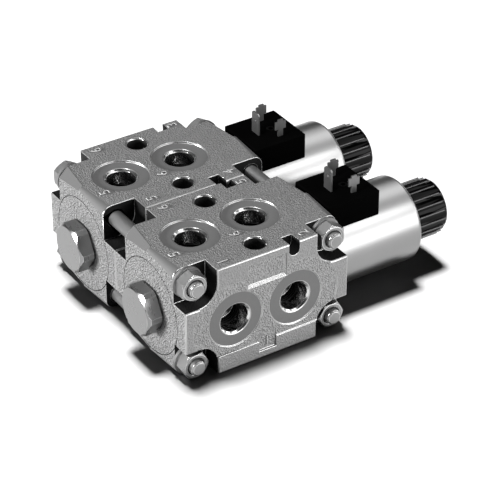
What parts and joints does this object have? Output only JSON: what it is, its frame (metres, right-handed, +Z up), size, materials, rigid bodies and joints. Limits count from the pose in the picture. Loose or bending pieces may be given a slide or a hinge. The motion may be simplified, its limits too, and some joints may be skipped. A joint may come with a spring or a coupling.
{
  "type": "stackable solenoid valve",
  "caption": "Stack of cast solenoid diverter valve sections held by tie bolts, with threaded ports on top and ends, hex end plugs, and round coils with blade connectors and ribbed knobs.",
  "frame": {"origin": "on the base, under the middle of the front section, midway between its two top ports", "axes": "+X along the spools towards the solenoids, +Y through the stack from the front section to the rear one, +Z up"},
  "size_m": [0.1767, 0.1302, 0.0717],
  "materials": {
    "cast_body": "as cast, fine blasted grain, machined spotfaces",
    "plug_steel": "machined, zinc plated",
    "fastener_steel": "machined, zinc plated",
    "ground_steel": "ground",
    "spring_steel": "wound wire, oiled",
    "coil_steel": "polished and plated",
    "winding_resin": "potted winding",
    "connector_plastic": "moulded, black",
    "knob_plastic": "moulded, black, ribbed",
    "blade_metal": "tinned",
    "insert_metal": "turned",
    "seal_rubber": "nitrile rubber"
  },
  "bodies": {
    "valve_stack": {"front_valve_body": "cast_body", "front_end_plug": "plug_steel", "front_plug_seal": "seal_rubber", "front_return_spring": "spring_steel", "front_pole_piece": "ground_steel", "front_tube_seal": "seal_rubber", "front_guide_sleeve": "ground_steel", "front_tail_stud": "ground_steel", "front_coil_jacket": "coil_steel", "front_coil_winding": "winding_resin", "front_connector_base": "connector_plastic", "front_ground_blade": "blade_metal", "front_line_blades": "blade_metal", "front_screw_insert": "insert_metal", "front_coil_knob": "knob_plastic", "front_knob_seal": "seal_rubber", "rear_valve_body": "cast_body", "rear_end_plug": "plug_steel", "rear_plug_seal": "seal_rubber", "rear_return_spring": "spring_steel", "rear_pole_piece": "ground_steel", "rear_tube_seal": "seal_rubber", "rear_guide_sleeve": "ground_steel", "rear_tail_stud": "ground_steel", "rear_coil_jacket": "coil_steel", "rear_coil_winding": "winding_resin", "rear_connector_base": "connector_plastic", "rear_ground_blade": "blade_metal", "rear_line_blades": "blade_metal", "rear_screw_insert": "insert_metal", "rear_coil_knob": "knob_plastic", "rear_knob_seal": "seal_rubber", "front_washers": "fastener_steel", "rear_washers": "fastener_steel", "left_port_seal": "seal_rubber", "right_port_seal": "seal_rubber", "lower_left_tie_bolt": "fastener_steel", "lower_left_tie_nut": "fastener_steel", "lower_right_tie_bolt": "fastener_steel", "lower_right_tie_nut": "fastener_steel", "upper_left_tie_bolt": "fastener_steel", "upper_left_tie_nut": "fastener_steel", "upper_right_tie_bolt": "fastener_steel", "upper_right_tie_nut": "fastener_steel"},
    "front_spool_train": {"front_spool": "ground_steel", "front_spring_seat": "ground_steel", "front_push_pin": "ground_steel", "front_armature": "ground_steel"},
    "rear_spool_train": {"rear_spool": "ground_steel", "rear_spring_seat": "ground_steel", "rear_push_pin": "ground_steel", "rear_armature": "ground_steel"}
  },
  "joints": [
    {"name": "front_spool_shift", "type": "slide", "parent": "valve_stack", "child": "front_spool_train", "axis": [-1, 0, 0], "range_m": [0, 0.0038], "stiffness_N_per_m": 4000, "springref_m": -0.006, "deforming": ["front_return_spring"]},
    {"name": "rear_spool_shift", "type": "slide", "parent": "valve_stack", "child": "rear_spool_train", "axis": [-1, 0, 0], "range_m": [0, 0.0038], "stiffness_N_per_m": 4000, "springref_m": -0.006, "deforming": ["rear_return_spring"]}
  ]
}
